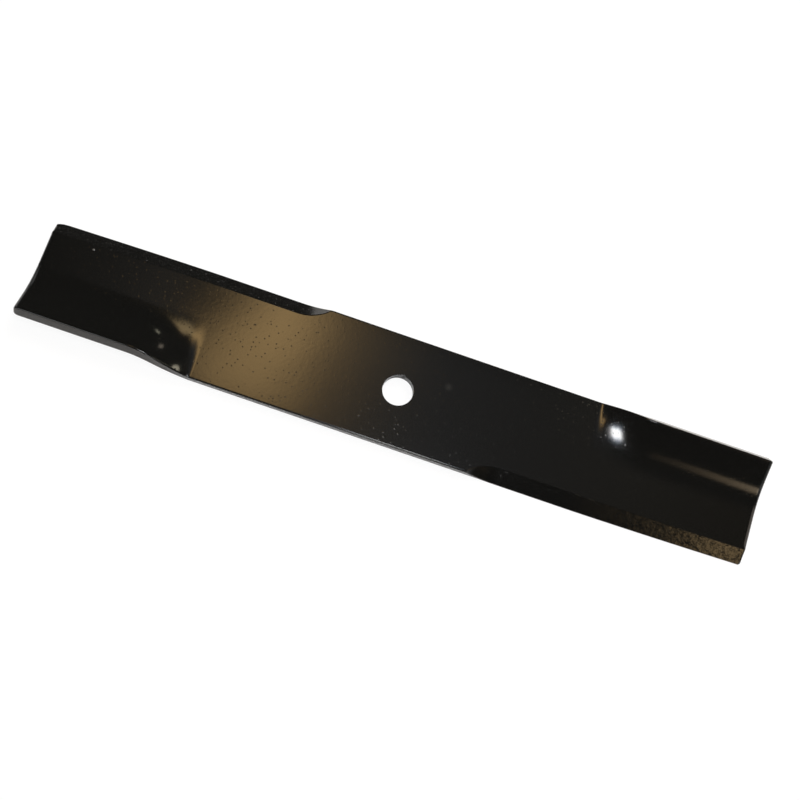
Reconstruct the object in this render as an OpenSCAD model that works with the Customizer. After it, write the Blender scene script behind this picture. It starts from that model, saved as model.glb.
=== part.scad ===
// Rotary mower blade: one flat steel bar with a pierced spindle hole, a milled bevel on the
// leading half of each long side and a lifting sail pressed up along each trailing half.
// Sizes are in millimetres. The underside rests on z = 0 and the spindle axis is the z axis.

/* [Bar] */
// length over both tips
blade_len = 530; // [480:1:600]
// width of the flat bar
blade_w = 80; // [76:1:92]
// thickness of the flat bar
blade_t = 8; // [6:0.1:10]
// radius on the long rolled edges
edge_round = 1.2; // [0.6:0.1:1.6]
// roll-over of the faces at the sheared ends
end_round = 2; // [0.4:0.1:2.4]
// rounding of the four corners seen from above
corner_round = 1; // [0.4:0.1:1.6]

/* [Spindle hole] */
// diameter of the pierced spindle hole
bore_d = 22; // [16:0.1:30]

/* [Cutting edges] */
// width of the milled bevel seen from above
bevel_w = 10.5; // [7:0.1:12]
// height of steel left below the bevel at the cutting edge
edge_land = 0.8; // [0.4:0.05:1.2]
// distance from the spindle axis to the first nick of the milling cutter
bevel_start = 61; // [45:1:75]
// radius of the milling cutter that leaves the curved run-out
cutter_r = 50; // [30:1:70]

/* [Sails] */
// width of bar taken up by each sail, from the start of the fold to the edge
sail_w = 44; // [38:0.5:48]
// radius of the fold at the middle of the thickness
sail_r = 62; // [45:1:70]
// upward angle of the sail
sail_angle = 27; // [16:0.5:30]
// length of the sail from the tip to the crease
sail_len = 127; // [100:1:140]
// length of the pressed ramp between the flat and the full sail
sail_ramp = 47; // [36:1:60]
// part of the ramp over which the crease turns up
crease_run = 5; // [2:0.5:8]
// part of the ramp over which its upper end levels out
crown_run = 18; // [10:0.5:24]
// inward draw of the cutting edge at the tip left by the pressing
tip_draw = 2; // [0:0.1:3]

/* [Hidden] */
half_len = blade_len / 2;
half_w = blade_w / 2;
half_t = blade_t / 2;
fold_arc = sail_r * sail_angle * PI / 180;
fold_start = half_w - sail_w;
fold_end = fold_start + fold_arc;
crease_at = half_len - sail_len;
bevel_rise = (blade_t - edge_land) / bevel_w;
bevel_slant = sqrt(1 + bevel_rise * bevel_rise);
cut_depth = (blade_t - edge_land) / bevel_slant;
runout = sqrt(2 * cutter_r * cut_depth - cut_depth * cut_depth);
corner_steps = 3;
column_steps = 16;
runout_steps = 7;
ramp_steps = 12;
sail_steps = 4;
end_steps = 5;
bore_eps = 1;
columns = [for (i = [0 : column_steps]) fold_end * (2 * i / column_steps - 1)];

// stations along the outer half of the bar, from the flat centre to the tip
stations = concat(
    [for (i = [0 : runout_steps]) bevel_start + runout * i / runout_steps],
    [for (i = [0 : ramp_steps]) crease_at + sail_ramp * ramp_place(i / ramp_steps)],
    [for (i = [1 : sail_steps]) crease_at + sail_ramp
        + (sail_len - sail_ramp - end_round) * i / sail_steps],
    [for (i = [1 : end_steps]) half_len - end_round * (1 - sin(90 * i / end_steps))]
);
count = len(stations);

// stations lie closer together at the crease than higher up the ramp
function ramp_place(f) = f < 0.25 ? f * 4 * crease_run / sail_ramp
    : crease_run / sail_ramp + (f - 0.25) / 0.75 * (1 - crease_run / sail_ramp);

// share of the full sail angle reached at distance d past the crease
function sail_share(d) = let(whole = sail_ramp - crease_run / 2 - crown_run / 2)
    d <= 0 ? 0
    : d < crease_run ? d * d / (2 * crease_run) / whole
    : d < sail_ramp - crown_run ? (d - crease_run / 2) / whole
    : d < sail_ramp ? 1 - pow(sail_ramp - d, 2) / (2 * crown_run) / whole
    : 1;

// inward draw of the cutting side at distance x from the spindle axis
function draw_at(x) = tip_draw * pow(max(0, (x - crease_at) / sail_len), 1.5);

// height by which the round cutter leaves the bevel unfinished at distance x
function cutter_lift(x) = let(back = max(0, bevel_start + runout - x))
    (cutter_r - sqrt(cutter_r * cutter_r - back * back)) * bevel_slant;

// shrink of the section, by depth at most, towards the sheared end
function end_inset(x, depth) = let(d = max(0, x - half_len + end_round) / end_round)
    depth * (1 - sqrt(max(0, 1 - d * d)));

// rounded corner of the bar, turning from the side (f = 0) to the face (f = 1)
function corner(f, r) = [r - r * cos(90 * f), r - r * sin(90 * f)];

// points of the bevelled corner, from the cutting edge up to the top face
function bevel_corner(x) = let(
        cut = min(blade_t - edge_land, cutter_lift(x)),
        low = min(blade_t - edge_round, edge_land + cut),
        wide = max(edge_round, (blade_t - edge_land - cut) / bevel_rise),
        plain = max(0, 1 - (x - bevel_start) / (runout / runout_steps)))
    [for (i = [0 : corner_steps]) let(
            f = i / corner_steps,
            bulge = corner(f, edge_round) - [f, 1 - f] * edge_round)
        [-half_w + f * wide + bulge[0] * plain,
         low + f * (blade_t - low) - half_t - bulge[1] * plain]];

// points of the lower corner under the cutting edge
function edge_corner(x) = let(
        cut = min(blade_t - edge_land, cutter_lift(x)),
        r = min(edge_round, (edge_land + cut) * 0.6))
    [for (i = [corner_steps : -1 : 0]) let(c = corner(i / corner_steps, r))
        [-half_w + c[0], c[1] - half_t]];

// flat section at distance x: width along the first value, thickness along the second
function flat_section(x) = concat(
    edge_corner(x),
    bevel_corner(x),
    [for (c = columns) [c, half_t]],
    [for (i = [corner_steps : -1 : 0]) let(c = corner(i / corner_steps, edge_round))
        [half_w - c[0], half_t - c[1]]],
    [for (i = [0 : corner_steps]) let(c = corner(i / corner_steps, edge_round))
        [half_w - c[0], c[1] - half_t]],
    [for (i = [column_steps : -1 : 0]) [columns[i], -half_t]]
);

// middle line of the folded section at developed width s, for a sail angle a
function fold_line(s, a) = a == 0 ? [s, 0, 0] : let(
        turn = a * min(1, max(0, (s - fold_start) / fold_arc)),
        r = fold_arc / (a * PI / 180),
        past = max(0, s - fold_end))
    [min(s, fold_start) + r * sin(turn) + past * cos(turn),
     r * (1 - cos(turn)) + past * sin(turn),
     turn];

// section at distance x with the fold and the draw applied
function section(x) = let(
        a = sail_angle * sail_share(x - crease_at),
        in_w = 1 - end_inset(x, corner_round) / half_w,
        in_t = 1 - end_inset(x, end_round) / half_t,
        draw = draw_at(x))
    [for (p = flat_section(x)) let(
            s = p[0] * in_w,
            n = p[1] * in_t,
            m = fold_line(s, a))
        [x, m[0] - n * sin(m[2]) + draw * max(0, -s) / half_w,
         half_t + m[1] + n * cos(m[2])]];

// the q-th point of a section on its upper side and on its lower side, counted across the bar
function over(q) = corner_steps + 1 + q;
function under(q) = (corner_steps - q + ring) % ring;

// pairs each point of a section with the point opposite it across the bar
ring = len(flat_section(0));
side = 2 * (corner_steps + 1);
function across(j) = (2 * side + column_steps - j + ring) % ring;

// one half as lofted, the other half turned by half a turn about the spindle axis
loops = concat(
    [for (i = [count - 1 : -1 : 0]) let(p = section(stations[i]))
        [for (j = [0 : ring - 1]) let(q = p[across(j)]) [-q[0], -q[1], q[2]]]],
    [for (i = [0 : count - 1]) section(stations[i])]
);
rows = len(loops);

// flat bar with both sails pressed and both bevels milled
module pressed_bar() {
    points = [for (l = loops) for (p = l) p];
    skin = [for (i = [0 : rows - 2]) for (j = [0 : ring - 1]) let(
            k = (j + 1) % ring,
            a = i * ring + j,
            b = i * ring + k,
            c = (i + 1) * ring + k,
            d = (i + 1) * ring + j)
        each [[a, b, c], [a, c, d]]];
    tip = (rows - 1) * ring;
    caps = [for (q = [0 : ring / 2 - 2]) let(
            a = over(q),
            b = over(q + 1),
            c = under(q + 1),
            d = under(q))
        each [[c, b, a], [d, c, a], [tip + a, tip + b, tip + c], [tip + a, tip + c, tip + d]]];
    polyhedron(points = points, faces = concat(skin, caps), convexity = 4);
}

// hole pierced through the flat centre for the spindle
module spindle_hole() {
    translate([0, 0, -bore_eps])
        cylinder(d = bore_d, h = blade_t + 2 * bore_eps, $fn = 96);
}

// the whole blade under its gloss black paint
module blade() {
    color([0.06, 0.06, 0.065])
        difference() {
            pressed_bar();
            spindle_hole();
        }
}

blade();
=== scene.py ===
import math
import bpy
import numpy as np
from mathutils import Matrix, Vector


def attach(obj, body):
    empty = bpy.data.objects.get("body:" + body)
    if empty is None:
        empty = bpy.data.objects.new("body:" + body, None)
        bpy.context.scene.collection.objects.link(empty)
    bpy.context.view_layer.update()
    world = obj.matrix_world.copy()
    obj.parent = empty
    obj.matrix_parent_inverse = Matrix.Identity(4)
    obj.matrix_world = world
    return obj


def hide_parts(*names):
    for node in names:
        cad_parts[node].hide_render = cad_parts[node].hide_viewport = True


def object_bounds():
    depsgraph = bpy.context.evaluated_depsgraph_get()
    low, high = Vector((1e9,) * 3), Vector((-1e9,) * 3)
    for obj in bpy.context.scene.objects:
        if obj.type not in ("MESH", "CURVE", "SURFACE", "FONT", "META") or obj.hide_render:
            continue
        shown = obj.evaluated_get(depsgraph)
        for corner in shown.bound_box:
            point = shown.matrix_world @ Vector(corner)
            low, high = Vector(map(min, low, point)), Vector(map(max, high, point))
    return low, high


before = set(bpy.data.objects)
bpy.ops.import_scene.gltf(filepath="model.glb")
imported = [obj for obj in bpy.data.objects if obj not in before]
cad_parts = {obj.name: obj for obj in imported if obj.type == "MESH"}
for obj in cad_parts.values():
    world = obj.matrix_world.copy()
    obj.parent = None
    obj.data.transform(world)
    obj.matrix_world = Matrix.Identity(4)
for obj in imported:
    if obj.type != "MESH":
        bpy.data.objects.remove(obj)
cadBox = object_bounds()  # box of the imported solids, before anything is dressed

mm = 0.001
scene = bpy.context.scene
scene.view_settings.view_transform = "Standard"


def hexToLinear(code):
    parts = [int(code[i:i + 2], 16) / 255 for i in (1, 3, 5)]
    return [p / 12.92 if p <= 0.04045 else ((p + 0.055) / 1.055) ** 2.4 for p in parts]


def hexToRgba(code):
    return (*hexToLinear(code), 1.0)


# adds one node: settings go on the node or on its inputs, links name (node, output) for each input
def addNode(tree, kind, settings=None, links=None):
    node = tree.nodes.new(kind)
    for key, value in (settings or {}).items():
        if isinstance(key, int) or key in node.inputs:
            node.inputs[key].default_value = value
        else:
            setattr(node, key, value)
    for key, (source, output) in (links or {}).items():
        tree.links.new(source.outputs[output], node.inputs[key])
    return node


def newMaterial(name):
    material = bpy.data.materials.new(name)
    material.use_nodes = True
    material.node_tree.nodes.clear()
    return material, material.node_tree


# sets the stops of a colour ramp from (place, colour) pairs
def setStops(ramp, stops):
    elements = ramp.color_ramp.elements
    while len(elements) < len(stops):
        elements.new(1.0)
    for element, (place, colour) in zip(elements, stops):
        element.position = place
        element.color = colour


# the blade's own sizes, in millimetres and degrees
bladeSizes = {
    "length": 530.0,
    "width": 80.0,
    "thickness": 8.0,
    "edgeRound": 1.2,       # rolled long edges
    "endRound": 2.0,        # roll-over of the faces at the sheared ends
    "endReach": (3.4, 1.2), # length of that roll-over along the blade: on the faces and on the bevel
    "endGap": 0.3,          # between the last plain station and the roll-over
    "cornerRound": 1.0,     # plan corners
    "boreDiameter": 22.0,
    "boreRound": 0.35,      # paint softens the pierced rim
    "bevelWidth": 10.5,
    "edgeLand": 0.8,
    "bevelStart": 61.0,
    "cutterRadius": 50.0,
    "bevelSoft": 0.6,       # paint softens the milled corner
    "cutBlend": 1.6,        # depth of cut, in edge rounds, at which the plain corner is gone
    "underShare": 0.55,     # most of the side's height that its lower rounding takes
    "softShare": 0.3,       # most of the side's height that the softening takes
    "sailWidth": 44.0,
    "sailRadius": 62.0,
    "sailAngle": 27.0,
    "sailLength": 127.0,
    "sailRamp": 47.0,
    "creaseRun": 5.0,
    "crownRun": 18.0,
    "tipDraw": 2.0,         # inward draw of the cutting side at the tip
    "drawPower": 1.5,       # how late along the sail the draw sets in
    "patchHalf": 30.0,      # half length of the flat patch around the bore
    "tornRange": (0.2, 1.0, 110.0, 190.0),   # tool marks: inner and outer share, and where they change
    "cleanShare": 0.1,      # depth of the tool marks on the cleaner bevel
    "wornCorner": (8.0, 2.4),    # reach and depth of the worn plan corner at one tip
    "rimNick": (86.0, 9.0, 1.3, 5.0),   # nick in the bore's rim: angle, half width in degrees, depth, height
}

halfLen = bladeSizes["length"] / 2
halfW = bladeSizes["width"] / 2
halfT = bladeSizes["thickness"] / 2
thickness = bladeSizes["thickness"]
edgeLand = bladeSizes["edgeLand"]
foldArc = bladeSizes["sailRadius"] * math.radians(bladeSizes["sailAngle"])
foldStart = halfW - bladeSizes["sailWidth"]
foldEnd = foldStart + foldArc
creaseAt = halfLen - bladeSizes["sailLength"]
bevelRise = (thickness - edgeLand) / bladeSizes["bevelWidth"]
bevelSlant = math.hypot(1.0, bevelRise)
bevelTurn = math.atan(bevelRise)
cutDepth = (thickness - edgeLand) / bevelSlant
runout = math.sqrt(2 * bladeSizes["cutterRadius"] * cutDepth - cutDepth ** 2)


# share of the full sail angle reached at distance d past the crease
def sailShare(d):
    ramp, crease, crown = (bladeSizes[k] for k in ("sailRamp", "creaseRun", "crownRun"))
    whole = ramp - crease / 2 - crown / 2
    if d <= 0:
        return 0.0
    if d < crease:
        return d * d / (2 * crease) / whole
    if d < ramp - crown:
        return (d - crease / 2) / whole
    if d < ramp:
        return 1 - (ramp - d) ** 2 / (2 * crown) / whole
    return 1.0


# inward draw of the cutting side, left by the pressing of the sail
def drawAt(x):
    past = max(0.0, (x - creaseAt) / bladeSizes["sailLength"])
    return bladeSizes["tipDraw"] * past ** bladeSizes["drawPower"]


# height by which the round cutter leaves the bevel unfinished
def cutterLift(x):
    radius = bladeSizes["cutterRadius"]
    back = max(0.0, bladeSizes["bevelStart"] + runout - x)
    if back >= runout:
        return thickness - edgeLand
    return (radius - math.sqrt(radius * radius - back * back)) * bevelSlant


# share of the full depth of the tool marks, which grow coarser towards the tip
def tornShare(x):
    low, high, start, end = bladeSizes["tornRange"]
    f = min(1.0, max(0.0, (x - start) / (end - start)))
    return low + (high - low) * f * f * (3 - 2 * f)


# how many steps each stretch of the loft takes
loftSteps = {
    "corner": 6, "bevel": 5, "column": 56,                  # round the section
    "patch": 10, "plain": 4, "runout": 36, "straight": 8,   # from the spindle axis to the crease
    "crease": 8, "ramp": 40, "sail": 20, "end": 12,         # from the crease to the tip
    "patchRings": 4, "rim": 4, "wall": 8,                   # round the bore
}
cornerSteps, bevelSteps, columnSteps = (loftSteps[k] for k in ("corner", "bevel", "column"))


# corner of the bar from its side (0) to its face (1): offsets from the sharp corner and the normal
def cornerArc(radius):
    out = []
    for i in range(cornerSteps + 1):
        turn = math.pi / 2 * i / cornerSteps
        out.append((radius - radius * math.cos(turn), radius - radius * math.sin(turn),
                    math.cos(turn), math.sin(turn)))
    return out


# cutting side of the section from the underside up to the top face, as (s, n, normal s, normal n, milled)
def cuttingSide(x):
    edgeRound = bladeSizes["edgeRound"]
    cut = cutterLift(x)
    deep = thickness - edgeLand - cut           # how far the cut has come down the side
    low = min(thickness - edgeRound, edgeLand + cut)
    wide = max(edgeRound, deep / bevelRise)
    plain = min(1.0, max(0.0, 1 - deep / (bladeSizes["cutBlend"] * edgeRound)))   # share of the uncut corner
    under = min(edgeRound, low * bladeSizes["underShare"])
    points = []
    for a, b, na, nb in reversed(cornerArc(under)):
        points.append((-halfW + a, b - halfT, -na, -nb, 0.0))
    soft = min(bladeSizes["bevelSoft"], low * bladeSizes["softShare"])
    ns, nn = -math.sin(bevelTurn), math.cos(bevelTurn)
    count = 2 * cornerSteps + bevelSteps
    full = math.hypot(wide, thickness - low)
    for i in range(count + 1):
        # cut corner: soft lower corner, straight bevel, soft upper corner
        if i < cornerSteps:
            g = i / cornerSteps
            along = soft / full * g * g
            turn = math.pi / 2 * (1 - g) + bevelTurn * g
            cutNormal = (-math.sin(turn), math.cos(turn))
            lower = soft * (1 - g) ** 2
            cutPoint = (-halfW + along * wide, low + along * (thickness - low) - lower)
        elif i <= cornerSteps + bevelSteps:
            g = (i - cornerSteps) / bevelSteps
            along = soft / full + (1 - 2 * soft / full) * g
            cutNormal = (ns, nn)
            cutPoint = (-halfW + along * wide, low + along * (thickness - low))
        else:
            g = (i - cornerSteps - bevelSteps) / cornerSteps
            turn = bevelTurn * (1 - g)
            cutNormal = (-math.sin(turn), math.cos(turn))
            along = 1 - soft / full * (1 - g) ** 2
            cutPoint = (-halfW + along * wide + soft * g * g, low + along * (thickness - low))
        # uncut corner
        turn = math.pi / 2 * (i / count)
        arcPoint = (-halfW + edgeRound * (1 - math.cos(turn)),
                    thickness - edgeRound * (1 - math.sin(turn)))
        arcNormal = (-math.cos(turn), math.sin(turn))
        s = cutPoint[0] * (1 - plain) + arcPoint[0] * plain
        z = cutPoint[1] * (1 - plain) + arcPoint[1] * plain
        normal = Vector((cutNormal[0] * (1 - plain) + arcNormal[0] * plain,
                         cutNormal[1] * (1 - plain) + arcNormal[1] * plain)).normalized()
        torn = 0.0 if i > cornerSteps + bevelSteps else (1 - plain) * tornShare(x)
        points.append((s, z - halfT, normal[0], normal[1], torn))
    return points


# the sail's own edge: the mirror of a cutting side before it is milled
def sailSide():
    edgeRound = bladeSizes["edgeRound"]
    count = 2 * cornerSteps + bevelSteps
    points = []
    for i in range(count + 1):
        turn = math.pi / 2 * (1 - i / count)
        points.append((halfW - edgeRound * (1 - math.cos(turn)), halfT - edgeRound * (1 - math.sin(turn)),
                       math.cos(turn), math.sin(turn), 0.0))
    for a, b, na, nb in cornerArc(edgeRound):
        points.append((halfW - a, b - halfT, na, -nb, 0.0))
    return points


columns = [foldEnd * (2 * i / columnSteps - 1) for i in range(columnSteps + 1)]


def flatSection(x):
    return (cuttingSide(x)
            + [(c, halfT, 0.0, 1.0, 0.0) for c in columns]
            + sailSide()
            + [(c, -halfT, 0.0, -1.0, 0.0) for c in reversed(columns)])


# folds one point of the flat section up by the sail angle a
def foldPoint(s, n, ns, nn, a):
    if a < 1e-9:
        return s, n, ns, nn
    turn = a * min(1.0, max(0.0, (s - foldStart) / foldArc))
    radius = foldArc / a
    past = max(0.0, s - foldEnd)
    y = min(s, foldStart) + radius * math.sin(turn) + past * math.cos(turn)
    z = radius * (1 - math.cos(turn)) + past * math.sin(turn)
    c, d = math.cos(turn), math.sin(turn)
    return y - n * d, z + n * c, ns * c - nn * d, ns * d + nn * c


# section at distance x, drawn in at the sheared end by a share of its two roundings
def section(x, inset=0.0):
    a = math.radians(bladeSizes["sailAngle"]) * sailShare(x - creaseAt)
    draw = drawAt(x)
    rows = []
    for s, n, ns, nn, milled in flatSection(x):
        y, z, ny, nz = foldPoint(s * (1 - inset * bladeSizes["cornerRound"] / halfW),
                                 n * (1 - inset * bladeSizes["endRound"] / halfT), ns, nn, a)
        rows.append((y + draw * max(0.0, -s) / halfW, z + halfT, ny, nz, milled))
    return np.array(rows)


# places from first, left out, to last in equal steps
def spread(first, last, count):
    return [first + (last - first) * i / count for i in range(1, count + 1)]


# stations along one half, from the spindle axis to the tip
patchHalf = bladeSizes["patchHalf"]
endRound = bladeSizes["endRound"]
endReach, bevelReach = bladeSizes["endReach"]
bevelStart = bladeSizes["bevelStart"]
rampEnd = creaseAt + bladeSizes["sailRamp"]
creaseEnd = creaseAt + bladeSizes["creaseRun"]
bodyStations = ([0.0] + spread(0, patchHalf, loftSteps["patch"])
                + spread(patchHalf, bevelStart, loftSteps["plain"])
                + spread(bevelStart, bevelStart + runout, loftSteps["runout"])
                + spread(bevelStart + runout, creaseAt, loftSteps["straight"])
                + spread(creaseAt, creaseEnd, loftSteps["crease"])
                + spread(creaseEnd, rampEnd, loftSteps["ramp"])
                + spread(rampEnd, halfLen - endReach - bladeSizes["endGap"], loftSteps["sail"]))
slopeStep = 0.02                                # mm to each side over which a slope is taken
halfRows = []
for x in bodyStations:
    rows = section(x)
    rise = section(x + slopeStep)[:, :2] - section(max(0.0, x - slopeStep))[:, :2]
    slope = rise / (slopeStep + min(slopeStep, x))
    tilt = -(rows[:, 2] * slope[:, 0] + rows[:, 3] * slope[:, 1])
    halfRows.append(np.column_stack([np.full(len(rows), x), rows[:, 0], rows[:, 1],
                                     tilt, rows[:, 2], rows[:, 3], rows[:, 4]]))
sidePoints = (cornerSteps + 1) + (2 * cornerSteps + bevelSteps + 1)
endSteps = loftSteps["end"]
for i in range(endSteps + 1):                   # roll-over: a normal tips by how far its point draws in
    turn = math.pi / 2 * i / endSteps
    x = halfLen - endReach * (1 - math.sin(turn))
    rows = section(x, 1 - math.cos(turn))
    flat = np.array(flatSection(x))
    reach = np.where(np.arange(len(rows)) < sidePoints, bevelReach, endReach)
    drawIn = (flat[:, 0] * flat[:, 2] * bladeSizes["cornerRound"] / halfW
              + flat[:, 1] * flat[:, 3] * endRound / halfT)
    tilt = math.sin(turn) * drawIn / reach if i < endSteps else np.ones(len(rows))
    halfRows.append(np.column_stack([halfLen - reach * (1 - math.sin(turn)), rows[:, 0], rows[:, 1], tilt,
                                     rows[:, 2] * math.cos(turn), rows[:, 3] * math.cos(turn), rows[:, 4]]))
ring = len(halfRows[0])
across = [(2 * sidePoints + columnSteps - j) % ring for j in range(ring)]
turned = np.array([-1, -1, 1, -1, -1, 1, bladeSizes["cleanShare"]])
loops = [halfRows[i][across] * turned for i in range(len(halfRows) - 1, 0, -1)] + halfRows
rowCount = len(loops)
centreRow = len(halfRows) - 1
print("blade lofted:", rowCount, "stations of", ring, "points")

verts = [list(p) for loop in loops for p in loop]
faces = []
topFirst, topLast = sidePoints, sidePoints + columnSteps
botFirst, botLast = 2 * sidePoints + columnSteps + 1, ring - 1
patchSpan = loftSteps["patch"]                  # stations on each side of the axis inside the patch
patchLow, patchHigh = centreRow - patchSpan, centreRow + patchSpan
for i in range(rowCount - 1):
    inPatch = patchLow <= i < patchHigh
    for j in range(ring):
        k = (j + 1) % ring
        if inPatch and (topFirst <= j < topLast or botFirst <= j < botLast):
            continue                            # left open for the patch around the bore
        faces.append((i * ring + j, (i + 1) * ring + j, (i + 1) * ring + k, i * ring + k))
for q in range(ring // 2 - 1):                  # sheared ends
    over, overNext = cornerSteps + 1 + q, cornerSteps + 2 + q
    under, underNext = (cornerSteps - q) % ring, (cornerSteps - q - 1) % ring
    tip = (rowCount - 1) * ring
    faces.append((over, overNext, underNext, under))
    faces.append((tip + under, tip + underNext, tip + overNext, tip + over))


# flat patch around the bore on one face: rings of points from its border to the rim
def borePatch(first, last, z, up, rimRadius):
    border = [i * ring + first for i in range(patchLow, patchHigh)]
    border += [patchHigh * ring + j for j in range(first, last)]
    border += [i * ring + last for i in range(patchHigh, patchLow, -1)]
    border += [patchLow * ring + j for j in range(last, first, -1)]
    angles = [math.atan2(verts[b][1], verts[b][0]) for b in border]
    previous = border
    for r in range(1, loftSteps["patchRings"] + 1):
        f = r / loftSteps["patchRings"]
        current = []
        for b, angle in zip(border, angles):
            reach = math.hypot(verts[b][0], verts[b][1]) * (1 - f) + rimRadius * f
            verts.append([reach * math.cos(angle), reach * math.sin(angle), z, 0, 0, up, 0])
            current.append(len(verts) - 1)
        joinRings(previous, current)
        previous = current
    return previous, angles


# joins two rings of as many points by a band of faces
def joinRings(outer, inner):
    for m in range(len(outer)):
        n = (m + 1) % len(outer)
        faces.append((outer[m], outer[n], inner[n], inner[m]))


boreRadius = bladeSizes["boreDiameter"] / 2
boreRound = bladeSizes["boreRound"]
topRim, rimAngles = borePatch(topFirst, topLast, thickness, 1, boreRadius + boreRound)
botRim, lowAngles = borePatch(botFirst, botLast, 0.0, -1, boreRadius + boreRound)


# how far the nick widens the bore at an angle and a height, and its slope round the bore and upwards
def nickAt(angle, z):
    middle, halfAngle, depth, tall = bladeSizes["rimNick"]
    off = (math.degrees(angle) - middle) / halfAngle
    rise = (z - thickness + tall) / tall
    if abs(off) >= 1 or rise <= 0:
        return 0.0, 0.0, 0.0
    swell = (1 - off * off) ** 2
    around = -4 * off * (1 - off * off) / (math.radians(halfAngle) * boreRadius)
    return depth * swell * rise, depth * around * rise, depth * swell / tall


# ring of the bore's wall at a height, with its normal tipped up or down
def boreRing(angles, radius, z, out, up):
    first = len(verts)
    for angle in angles:
        c, s = math.cos(angle), math.sin(angle)
        wider, around, tilt = nickAt(angle, z)
        verts.append([(radius + wider) * c, (radius + wider) * s, z,
                      -c * out - s * around, -s * out + c * around, up + tilt, 0])
    return list(range(first, len(verts)))


rimSteps, wallSteps = loftSteps["rim"], loftSteps["wall"]
for m, angle in enumerate(rimAngles):           # the flat face gives way to the nick
    wider = nickAt(angle, thickness)[0]
    verts[topRim[m]][0] += wider * math.cos(angle)
    verts[topRim[m]][1] += wider * math.sin(angle)
previous = topRim
for i in range(1, rimSteps + 1):
    turn = math.pi / 2 * i / rimSteps
    current = boreRing(rimAngles, boreRadius + boreRound * (1 - math.sin(turn)),
                       thickness - boreRound * (1 - math.cos(turn)), math.sin(turn), math.cos(turn))
    joinRings(previous, current)
    previous = current
for i in range(1, wallSteps):
    z = thickness - boreRound - (thickness - 2 * boreRound) * i / wallSteps
    current = boreRing(rimAngles, boreRadius, z, 1.0, 0.0)
    joinRings(previous, current)
    previous = current
wallTop = previous
previous = botRim
for i in range(1, rimSteps + 1):
    turn = math.pi / 2 * i / rimSteps
    current = boreRing(lowAngles, boreRadius + boreRound * (1 - math.sin(turn)),
                       boreRound * (1 - math.cos(turn)), math.sin(turn), -math.cos(turn))
    joinRings(previous, current)
    previous = current
# the lower rim runs the other way round, so its points are matched to the upper ones by angle
orderLow = sorted(range(len(previous)), key=lambda m: lowAngles[m])
orderTop = sorted(range(len(wallTop)), key=lambda m: rimAngles[m])
joinRings([wallTop[m] for m in orderTop], [previous[m] for m in orderLow])

# points inside the patches carry no face and are dropped; the rest stay inside the solid's box
used = sorted({v for face in faces for v in face})
renumber = {v: i for i, v in enumerate(used)}
faces = [tuple(renumber[v] for v in face) for face in faces]
data = np.array(verts)[used]
# one tip has lost its cutting corner to wear
reach, depth = bladeSizes["wornCorner"]
nearTip = np.clip((-data[:, 0] - halfLen + reach) / reach, 0, 1)
nearEdge = np.clip((data[:, 1] - halfW + reach) / reach, 0, 1)
data[:, 1] -= depth * nearTip ** 3 * nearEdge ** 2
data[:, :3] = np.clip(data[:, :3] * mm, np.array(cadBox[0]), np.array(cadBox[1]))
mesh = bpy.data.meshes.new("blade_skin")
mesh.from_pydata([tuple(p) for p in data[:, :3]], [], faces)
mesh.polygons.foreach_set("use_smooth", [True] * len(mesh.polygons))
milled = mesh.attributes.new("milled", "FLOAT", "POINT")
milled.data.foreach_set("value", data[:, 6].astype(np.float32))
normals = data[:, 3:6] / np.linalg.norm(data[:, 3:6], axis=1)[:, None]
mesh.normals_split_custom_set_from_vertices([tuple(n) for n in normals])
blade = bpy.data.objects.new("blade_dressed", mesh)
scene.collection.objects.link(blade)
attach(blade, "root")
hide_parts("blade")
print("blade skinned:", len(mesh.vertices), "points,", len(mesh.polygons), "faces")

# stoved gloss black enamel over rolled and milled steel: a dark mirror, broken by fine orange peel,
# a few dust nibs and, on the bevels, by the torn tool marks under the paint
enamel = {
    "colour": "#0c0c0b",
    "dustColour": "#1a1917",
    "ior": 1.5,
    "roughness": 0.1,
    "milledRoughness": 0.12,
    "peelSize": 2.4,        # mm between the waves of the orange peel
    "peelHeight": 0.013,    # mm, as all heights here
    "swellSize": 26.0,      # mm between the slow waves left by rolling
    "swellHeight": 0.03,
    "nibSpacing": 3.2,      # mm between dust nibs
    "nibSize": 0.6,
    "nibHeight": 0.036,
    "toolPitch": 3.6,       # mm between the torn tool marks of the bevel
    "toolDraw": 1.1,        # how much longer the marks run across the bevel than their pitch
    "toolHeight": 0.22,
    "smudgeAndNibHighlightColour": "#5c5b58",
    # place and radius in mm, and share: a smudged spot beside the hole, and a painted highlight that colours
    # the top of the paint nib pale
    "smudgesAndNibHighlight": (((33.0, 14.0, 8.0), 4.0, 0.1), ((-233.0, 25.0, 8.3), 1.3, 1.0)),
}
blackEnamel, tree = newMaterial("black_enamel_stoved")
place = addNode(tree, "ShaderNodeTexCoord")
here = {"Vector": (place, "Object")}
peel = addNode(tree, "ShaderNodeTexNoise", {"Scale": 1 / (enamel["peelSize"] * mm), "Detail": 2.0}, here)
swell = addNode(tree, "ShaderNodeTexNoise", {"Scale": 1 / (enamel["swellSize"] * mm), "Detail": 1.0}, here)
drawn = addNode(tree, "ShaderNodeVectorMath",
                {"operation": "MULTIPLY", 1: (1.0, 1 / enamel["toolDraw"], 1 / enamel["toolDraw"])},
                {0: (place, "Object")})
tool = addNode(tree, "ShaderNodeTexNoise", {"Scale": 1 / (enamel["toolPitch"] * mm), "Detail": 2.0},
               {"Vector": (drawn, "Vector")})
nib = addNode(tree, "ShaderNodeTexVoronoi", {"Scale": 1 / (enamel["nibSpacing"] * mm)}, here)
nibReach = enamel["nibSize"] / enamel["nibSpacing"]
nibMask = addNode(tree, "ShaderNodeMapRange", {"interpolation_type": "SMOOTHSTEP", "From Min": 0.0,
                                               "From Max": nibReach, "To Min": 1.0, "To Max": 0.0},
                  {"Value": (nib, "Distance")})
milledMask = addNode(tree, "ShaderNodeAttribute", {"attribute_name": "milled"})
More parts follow.
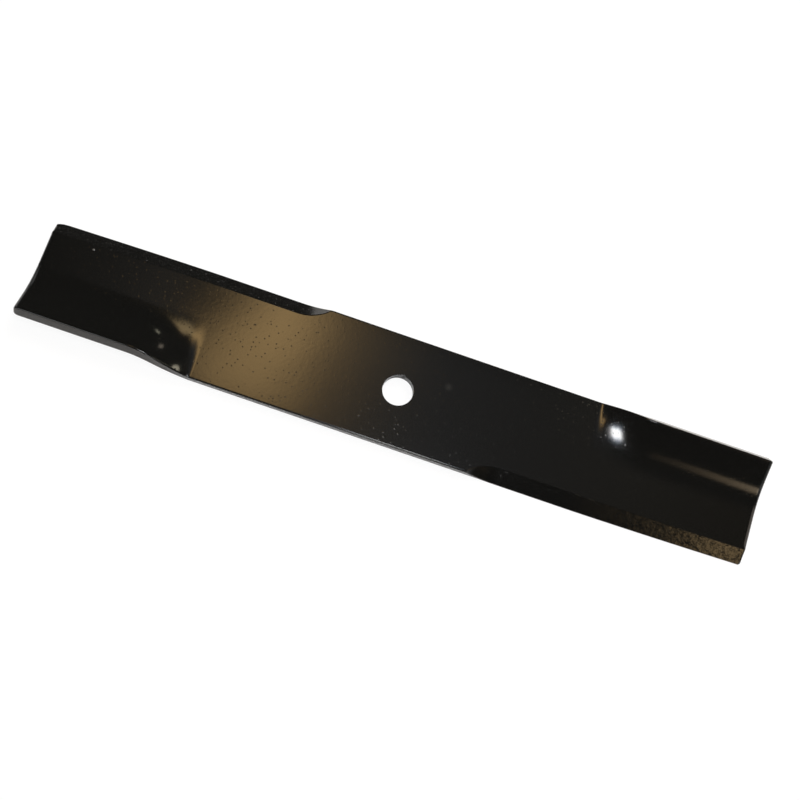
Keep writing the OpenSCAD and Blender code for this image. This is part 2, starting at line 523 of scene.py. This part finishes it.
toolMarks = addNode(tree, "ShaderNodeMath", {"operation": "MULTIPLY"},
                    {0: (tool, "Fac"), 1: (milledMask, "Fac")})
# pale spots mixed into the colour: the smudged spot beside the hole, and the painted highlight on the paint
# nib's top
pale = addNode(tree, "ShaderNodeValue")
for centre, radius, share in enamel["smudgesAndNibHighlight"]:
    away = addNode(tree, "ShaderNodeVectorMath", {"operation": "DISTANCE", 1: [c * mm for c in centre]},
                   {0: (place, "Object")})
    smudgeAndHighlight = addNode(tree, "ShaderNodeMapRange", {"interpolation_type": "SMOOTHSTEP", "From Min": 0.0,
                                                  "From Max": radius * mm, "To Min": share, "To Max": 0.0},
                     {"Value": (away, "Value")})
    pale = addNode(tree, "ShaderNodeMath", {"operation": "ADD"},
                   {0: (smudgeAndHighlight, "Result"), 1: (pale, "Value")})
# heights in millimetres, summed one after the other into one bump
relief = [(peel, "Fac", enamel["peelHeight"]), (swell, "Fac", enamel["swellHeight"]),
          (nibMask, "Result", enamel["nibHeight"]), (toolMarks, "Value", enamel["toolHeight"])]
height = addNode(tree, "ShaderNodeValue")
for source, output, tall in relief:
    height = addNode(tree, "ShaderNodeMath", {"operation": "MULTIPLY_ADD", 1: tall},
                     {0: (source, output), 2: (height, "Value")})
bump = addNode(tree, "ShaderNodeBump", {"Strength": 1.0, "Distance": mm}, {"Height": (height, "Value")})
gloss = addNode(tree, "ShaderNodeMapRange",
                {"To Min": enamel["roughness"], "To Max": enamel["milledRoughness"]},
                {"Value": (milledMask, "Fac")})
tone = addNode(tree, "ShaderNodeMix", {"data_type": "RGBA", 6: hexToRgba(enamel["colour"]),
                                       7: hexToRgba(enamel["dustColour"])}, {0: (nibMask, "Result")})
spotted = addNode(tree, "ShaderNodeMix", {"data_type": "RGBA", 7: hexToRgba(enamel["smudgeAndNibHighlightColour"])},
                  {0: (pale, "Value"), 6: (tone, 2)})
paint = addNode(tree, "ShaderNodeBsdfPrincipled", {"IOR": enamel["ior"]},
                {"Base Color": (spotted, 2), "Roughness": (gloss, "Result"), "Normal": (bump, "Normal")})
addNode(tree, "ShaderNodeOutputMaterial", links={"Surface": (paint, "BSDF")})
mesh.materials.append(blackEnamel)
print("enamel mixed")

# one large nib of paint near a tip: a low dome on the flat
paintNib = {"place": (-233.0, 25.0), "radius": 1.1, "height": 0.34, "sink": 0.02, "power": 1.5,
            "around": 28, "rings": 7}
nibAround, nibRings = paintNib["around"], paintNib["rings"]
nibX, nibY = paintNib["place"]
nibFoot = thickness - paintNib["sink"]
nibVerts, nibFaces = [], []
for k in range(nibRings):
    f = 1 - k / nibRings
    for m in range(nibAround):
        turn = 2 * math.pi * m / nibAround
        nibVerts.append((nibX + paintNib["radius"] * f * math.cos(turn),
                         nibY + paintNib["radius"] * f * math.sin(turn),
                         nibFoot + paintNib["height"] * (1 - f * f) ** paintNib["power"]))
nibVerts.append((nibX, nibY, nibFoot + paintNib["height"]))
for k in range(nibRings - 1):
    lower, upper = k * nibAround, (k + 1) * nibAround
    for m in range(nibAround):
        n = (m + 1) % nibAround
        nibFaces.append((lower + m, lower + n, upper + n, upper + m))
last = (nibRings - 1) * nibAround
nibFaces += [(last + m, last + (m + 1) % nibAround, len(nibVerts) - 1) for m in range(nibAround)]
nibFaces.append(tuple(reversed(range(nibAround))))
nibMesh = bpy.data.meshes.new("paint_nib_skin")
nibMesh.from_pydata([[c * mm for c in v] for v in nibVerts], [], nibFaces)
nibMesh.polygons.foreach_set("use_smooth", [len(f) < 5 for f in nibFaces])
nibMesh.materials.append(blackEnamel)
nibPiece = bpy.data.objects.new("paint_nib", nibMesh)
scene.collection.objects.link(nibPiece)
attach(nibPiece, "root")
print("nib added")

# plain pale floor, which keeps the blade's shadow
floorLook = {"colour": "#ffffff", "size": 6.0, "drop": 0.0002, "seenShare": 0.92, "mirrorShare": 0.1}
bpy.ops.mesh.primitive_plane_add(size=floorLook["size"], location=(0, 0, -floorLook["drop"]))
floor = bpy.context.object
floor.name = "floor"
floorPaint, tree = newMaterial("pale_floor")
matt = addNode(tree, "ShaderNodeBsdfDiffuse", {"Color": hexToRgba(floorLook["colour"])})
shine = addNode(tree, "ShaderNodeEmission", {"Color": hexToRgba(floorLook["colour"]), "Strength": 1.0})
rays = addNode(tree, "ShaderNodeLightPath")
mirrored = addNode(tree, "ShaderNodeMath", {"operation": "MAXIMUM"},
                   {0: (rays, "Is Glossy Ray"), 1: (rays, "Is Transmission Ray")})
mirrorShare = addNode(tree, "ShaderNodeMath", {"operation": "MULTIPLY", 1: floorLook["mirrorShare"]},
                      {0: (mirrored, "Value")})
share = addNode(tree, "ShaderNodeMath", {"operation": "MULTIPLY_ADD", 1: floorLook["seenShare"]},
                {0: (rays, "Is Camera Ray"), 2: (mirrorShare, "Value")})
mixed = addNode(tree, "ShaderNodeMixShader",
                links={0: (share, "Value"), 1: (matt, "BSDF"), 2: (shine, "Emission")})
addNode(tree, "ShaderNodeOutputMaterial", links={"Surface": (mixed, "Shader")})
floor.data.materials.append(floorPaint)


# a glowing card that the enamel mirrors and the camera never sees; its glow is the product of ramps
# across it, each an axis in the card's own plane with stops of (place in metres, share, colour)
def glowCard(name, centre, facing, size, strength, ramps):
    w, h = size[0] / 2, size[1] / 2
    cardMesh = bpy.data.meshes.new(name)
    cardMesh.from_pydata([(-w, -h, 0), (w, -h, 0), (w, h, 0), (-w, h, 0)], [], [(0, 1, 2, 3)])
    card = bpy.data.objects.new(name, cardMesh)
    scene.collection.objects.link(card)
    back = (Vector(centre) - Vector(facing)).normalized()
    side = Vector((1, 0, 0)) if abs(back.z) > 0.9 else Vector((0, 0, 1)).cross(back).normalized()
    rise = back.cross(side).normalized()
    side = rise.cross(back)
    card.matrix_world = Matrix.Translation(centre) @ Matrix((side, rise, back)).transposed().to_4x4()
    material, tree = newMaterial(name + "_glow")
    place = addNode(tree, "ShaderNodeTexCoord")
    total = None
    for axis, stops in ramps:
        first, last = stops[0][0], stops[-1][0]
        along = addNode(tree, "ShaderNodeVectorMath", {"operation": "DOT_PRODUCT", 1: (*axis, 0.0)},
                        {0: (place, "Object")})
        span = addNode(tree, "ShaderNodeMapRange", {"From Min": first, "From Max": last},
                       {"Value": (along, "Value")})
        ramp = addNode(tree, "ShaderNodeValToRGB", links={"Fac": (span, "Result")})
        setStops(ramp, [((v - first) / (last - first), (*[c * g for c in hexToLinear(colour)], 1.0))
                        for v, g, colour in stops])
        if total is None:
            total = (ramp, "Color")
        else:
            total = (addNode(tree, "ShaderNodeMix", {"data_type": "RGBA", "blend_type": "MULTIPLY", 0: 1.0},
                             {6: total, 7: (ramp, "Color")}), 2)
    glow = addNode(tree, "ShaderNodeEmission", {"Strength": strength}, {"Color": total})
    clear = addNode(tree, "ShaderNodeBsdfTransparent")
    both = addNode(tree, "ShaderNodeAddShader", links={0: (glow, "Emission"), 1: (clear, "BSDF")})
    addNode(tree, "ShaderNodeOutputMaterial", links={"Surface": (both, "Shader")})
    cardMesh.materials.append(material)
    card.visible_camera = False
    card.visible_shadow = False


white = "#ffffff"


# gives every stop of a ramp the same colour
def tinted(colour, stops):
    return [(place, share, colour) for place, share in stops]


# stops of a card that is plain inside and fades out at its two edges
def softEdges(reach, fade, colour=white):
    return tinted(colour, [(-reach, 0.0), (-reach + fade, 1.0), (reach - fade, 1.0), (reach, 0.0)])


# the room: pale walls up to some degrees above the horizon, dim above
roomLook = {"pale": "#f8f8f8", "dim": "#3a3a38", "paleTo": 9.0, "dimFrom": 21.0}
wide, high = (1.0, 0.0), (0.0, 1.0)
rising, falling = (math.sqrt(0.5), math.sqrt(0.5)), (math.sqrt(0.5), -math.sqrt(0.5))
# the ceiling hangs 2 m up; its stops are written in mm on the flat of the blade that mirrors them
ceilingCentre = (0.031, 0.558, 2.0)
mirrorScale = 3.377 * mm
slant = math.radians(36)


def onFlat(stops):
    return [(x * mirrorScale, share, colour) for x, share, colour in stops]


# warm light on one half of the blade, ending along a slanted line, and a grey rest on the other half
warmStops = [(-400, 1.0, "#ffd28d"), (-90, 1.0, "#ffd28d"), (-75, 0.72, "#ffd28d"), (-60, 0.37, "#ffd28f"),
             (-45, 0.20, "#ffd494"), (-30, 0.115, "#ffd89c"), (-15, 0.06, "#ffdca8"),
             (0, 0.03, "#ffe4b8"), (15, 0.012, "#ffe8c4"), (30, 0.0, "#ffe8c4")]
slantStops = [(-160, 0.0), (-140, 0.0), (-131.5, 0.012), (-121.5, 0.07), (-109, 0.38), (-97, 0.74),
              (-80, 1.0), (400, 1.0)]
cornerStops = [(-400, 0.0), (-138, 0.0), (-117, 1.0), (400, 1.0)]
depthStops = [(-52, 0.0), (-42, 0.70), (-22, 0.74), (-10, 0.83), (0, 0.91), (12, 1.02), (22, 1.09),
              (42, 1.12), (57, 0.0)]
glowCard("card_warm_ceiling", centre=ceilingCentre, facing=(0.031, 0.558, 0.0),
         size=(3.0, 2.0), strength=6.2,
         ramps=[(wide, onFlat(warmStops)),
                ((math.cos(slant), -math.sin(slant)), onFlat(tinted(white, slantStops))),
                (rising, onFlat(tinted(white, cornerStops))),
                (high, onFlat(tinted(white, depthStops)))])
restStops = [(-75, 0.0, "#f4f6ff"), (-45, 0.45, "#f4f6ff"), (0, 0.9, "#f4f6ff"), (30, 1.0, "#f4f6ff"),
             (60, 0.8, "#f8f8ff"), (90, 0.62, "#fdfbff"), (180, 0.55, "#fff4e0"), (255, 0.3, "#ffdcb0"),
             (400, 0.2, "#ffdcb0")]
glowCard("card_grey_rest", centre=(0.031, 0.558, 2.03), facing=(0.031, 0.558, 0.0),
         size=(3.0, 2.0), strength=0.2,
         ramps=[(wide, onFlat(restStops)),
                (high, onFlat(tinted(white, [(-170, 0.0), (-60, 0.8), (40, 1.0), (57, 0.0)])))])
glowCard("card_warm_tongue", centre=(-0.36, 0.86, 2.01), facing=(-0.36, 0.86, 0.0),
         size=(0.24, 0.40), strength=4.0,
         ramps=[(wide, softEdges(0.12, 0.06, "#ffdca0")), (high, softEdges(0.20, 0.09))])
greyStops = [(-0.25, 0.0, "#fff8f0"), (-0.08, 0.3, "#fff8f0"), (0.07, 0.85, "#fff8f0"), (0.17, 0.4, "#ffeedc"),
             (0.25, 0.0, "#ffe0c0")]
glowCard("card_grey_ceiling", centre=(-0.64, 0.60, 2.02), facing=(-0.64, 0.60, 0.0),
         size=(0.50, 0.5), strength=0.2,
         ramps=[(wide, greyStops), (high, softEdges(0.25, 0.14))])
# a warm strip that the right sail's fold draws out to a stripe
stripeStops = [(-0.30, 0.0, "#ffe0b4"), (-0.195, 0.09, "#ffe0b4"), (-0.134, 0.36, "#ffe0b4"),
               (-0.085, 0.65, "#ffe0b4"), (-0.060, 1.0, "#ffe4bc"), (-0.04, 1.6, "#ffe8c8"),
               (0.30, 1.8, "#ffe8c8")]
glowCard("card_right_ceiling", centre=(0.66, -0.345, 1.0), facing=(0.66, -0.345, 0.0),
         size=(0.6, 0.32), strength=2.6,
         ramps=[(wide, stripeStops), (high, softEdges(0.11, 0.065))])
# a low warm board close beside the tip, mirrored in the outer end of the bevel and broken up by its tool marks
boardStops = [(0.20, 0.0), (0.26, 0.05), (0.283, 0.11), (0.305, 0.17), (0.327, 0.32), (0.349, 0.62),
              (0.371, 1.0), (0.385, 1.0), (0.403, 0.0)]
boardCentre = (0.35, -0.32, 0.19)
glowCard("card_warm_board", centre=boardCentre, facing=(0.35, 0.0, 0.19),
         size=(0.30, 0.26), strength=4.0,
         ramps=[(wide, tinted("#ffd89c", [(x - boardCentre[0], share) for x, share in boardStops])),
                (high, tinted(white, [(-0.012, 0.0), (0.009, 1.0), (0.023, 1.0), (0.040, 0.1), (0.06, 0.0)]))])
glowCard("card_near", centre=(0.03, -1.0, 0.72), facing=(0.0, 0.0, 0.0),
         size=(0.20, 0.36), strength=8.0,
         ramps=[(wide, softEdges(0.10, 0.05)), (high, softEdges(0.18, 0.06))])
glowCard("card_near_left", centre=(-0.46, -0.60, 0.75), facing=(-0.2, 0.0, 0.0),
         size=(0.24, 0.24), strength=6.0,
         ramps=[(wide, softEdges(0.12, 0.05)), (high, softEdges(0.12, 0.05))])
glowCard("card_right_end", centre=(1.5, 0.32, 0.75), facing=(0.26, -0.02, 0.0),
         size=(0.5, 1.3), strength=1.3,
         ramps=[(wide, softEdges(0.25, 0.12, "#fff0e0")), (high, softEdges(0.65, 0.2))])
# flash beside the camera: a hot core in a soft halo, with the tail trimmed that the ramp would draw out of it
flashStops = [(-0.20, 0.0, "#dceaff"), (-0.16, 0.02, "#dceaff"), (-0.125, 0.09, "#dceaff"),
              (-0.10, 0.28, "#e4efff"), (-0.075, 0.75, "#f2f7ff"), (-0.045, 1.0, white)]
flashStops = flashStops + [(-v, share, colour) for v, share, colour in reversed(flashStops)]
glowCard("card_flash", centre=(0.046, -0.030, 1.0), facing=(0.155, 0.021, 0.0),
         size=(0.40, 0.40), strength=30.0,
         ramps=[(wide, flashStops),
                (high, tinted(white, [(v, share) for v, share, colour in flashStops])),
                (falling, tinted(white, [(-0.3, 1.0), (0.075, 1.0), (0.10, 0.3), (0.13, 0.0)]))])

# soft white panels round the blade, mirrored when it is seen from other sides
panelLook = {"strength": 0.9, "fade": 0.25}
panelTable = (
    ("panel_far_left", (-1.22, 0.9, 0.9), (0.9, 0.8)),
    ("panel_near_left", (-1.2, -1.1, 0.95), (1.2, 0.8)),
    ("panel_right", (1.62, -0.55, 1.05), (0.75, 0.8)),
)
for name, centre, size in panelTable:
    glowCard(name, centre, (0.0, 0.0, 0.0), size, panelLook["strength"],
             [(wide, softEdges(size[0] / 2, panelLook["fade"])),
              (high, softEdges(size[1] / 2, panelLook["fade"]))])
# a dark flag stands behind the blade and keeps the pale wall out of its far bevel and sail
flag = {"x": (-1.0, 0.3), "y": 0.95, "top": 0.6}
flagLeft, flagRight = flag["x"]
flagMesh = bpy.data.meshes.new("dark_flag")
flagMesh.from_pydata([(flagLeft, flag["y"], 0), (flagRight, flag["y"], 0),
                      (flagRight, flag["y"], flag["top"]), (flagLeft, flag["y"], flag["top"])],
                     [], [(0, 1, 2, 3)])
flagPiece = bpy.data.objects.new("dark_flag", flagMesh)
scene.collection.objects.link(flagPiece)
flagCloth, tree = newMaterial("dark_flag_cloth")
cloth = addNode(tree, "ShaderNodeEmission", {"Color": hexToRgba(roomLook["dim"]), "Strength": 1.0})
addNode(tree, "ShaderNodeOutputMaterial", links={"Surface": (cloth, "Emission")})
flagMesh.materials.append(flagCloth)
flagPiece.visible_camera = False
flagPiece.visible_diffuse = False
flagPiece.visible_shadow = False


# an area lamp aimed at the spindle hole
def addLamp(name, centre, size, watts, colour):
    lamp = bpy.data.lights.new(name, "AREA")
    lamp.size = size
    lamp.energy = watts
    lamp.color = hexToLinear(colour)
    holder = bpy.data.objects.new(name, lamp)
    holder.location = centre
    holder.rotation_euler = (-Vector(centre)).to_track_quat("-Z", "Y").to_euler()
    scene.collection.objects.link(holder)
    return holder


# small round lamps whose sparks show on the pressed ramps: place and size in metres, radiance, colour
sparkTable = (
    ("spark_warm_a", (0.34, 0.40, 0.80), 0.12, 6.0, "#fff4d8"),
    ("spark_warm_b", (0.085, 0.84, 0.75), 0.09, 2.4, "#ffeed8"),
    ("spark_warm_c", (-0.19, 0.86, 0.81), 0.08, 3.0, "#fffadc"),
)
for name, centre, size, radiance, colour in sparkTable:
    watts = radiance * math.pi * math.pi * size * size / 4      # of a disk of that radiance
    addLamp(name, centre, size, watts, colour).data.shape = "DISK"

# large softboxes, kept out of the enamel's mirror: place and size in metres, watts, colour
softboxTable = (
    ("far_softbox", (0.3, 1.3, 1.5), 1.0, 34.0, "#fff8f0"),
    ("left_softbox", (-1.35, -0.35, 1.15), 0.8, 6.0, "#fffaf4"),
    ("right_softbox", (1.4, 0.3, 1.1), 0.8, 6.0, "#f6faff"),
)
for name, centre, size, watts, colour in softboxTable:
    addLamp(name, centre, size, watts, colour).visible_glossy = False

world = bpy.data.worlds.new("studio_room")
scene.world = world
world.use_nodes = True
tree = world.node_tree
tree.nodes.clear()
sky = addNode(tree, "ShaderNodeTexCoord")
climb = addNode(tree, "ShaderNodeSeparateXYZ", links={0: (sky, "Generated")})
overhead = addNode(tree, "ShaderNodeMapRange",
                   {"interpolation_type": "SMOOTHSTEP",
                    "From Min": math.sin(math.radians(roomLook["paleTo"])),
                    "From Max": math.sin(math.radians(roomLook["dimFrom"]))}, {"Value": (climb, "Z")})
shade = addNode(tree, "ShaderNodeMix",
                {"data_type": "RGBA", 6: hexToRgba(roomLook["pale"]), 7: hexToRgba(roomLook["dim"])},
                {0: (overhead, "Result")})
room = addNode(tree, "ShaderNodeBackground", {"Strength": 1.0}, {"Color": (shade, 2)})
addNode(tree, "ShaderNodeOutputWorld", links={"Surface": (room, "Background")})
print("stage lit")

# camera set by the blade's outline and the rim of its hole: degrees, millimetres, and pixels of the frame
cameraView = {"azimuth": -4.1856, "elevation": 74.7138, "roll": 22.913, "distance": 877.781,
              "focal": 1247.3334, "holeAt": (396.856, 392.9962), "frame": 800,
              "sensor": 36.0, "clipStart": 10.0}
azimuth, elevation, roll = (math.radians(cameraView[k]) for k in ("azimuth", "elevation", "roll"))
backward = Vector((math.sin(azimuth) * math.cos(elevation), -math.cos(azimuth) * math.cos(elevation),
                   math.sin(elevation)))
level = Vector((math.cos(azimuth), math.sin(azimuth), 0))
upward = backward.cross(level)
rightAxis = level * math.cos(roll) + upward * math.sin(roll)
upAxis = upward * math.cos(roll) - level * math.sin(roll)
half = cameraView["frame"] / 2
perPixel = cameraView["distance"] / cameraView["focal"]
offX = (cameraView["holeAt"][0] - half) * perPixel
offY = (half - cameraView["holeAt"][1]) * perPixel
eye = (backward * cameraView["distance"] - rightAxis * offX - upAxis * offY) * mm
camData = bpy.data.cameras.new("camera")
camData.sensor_width = cameraView["sensor"]
camData.lens = cameraView["focal"] / cameraView["frame"] * camData.sensor_width
camData.clip_start = cameraView["clipStart"] * mm
camera = bpy.data.objects.new("camera", camData)
camera.matrix_world = Matrix((
    (rightAxis.x, upAxis.x, backward.x, eye.x),
    (rightAxis.y, upAxis.y, backward.y, eye.y),
    (rightAxis.z, upAxis.z, backward.z, eye.z),
    (0, 0, 0, 1)))
scene.collection.objects.link(camera)
scene.camera = camera
print("camera placed")
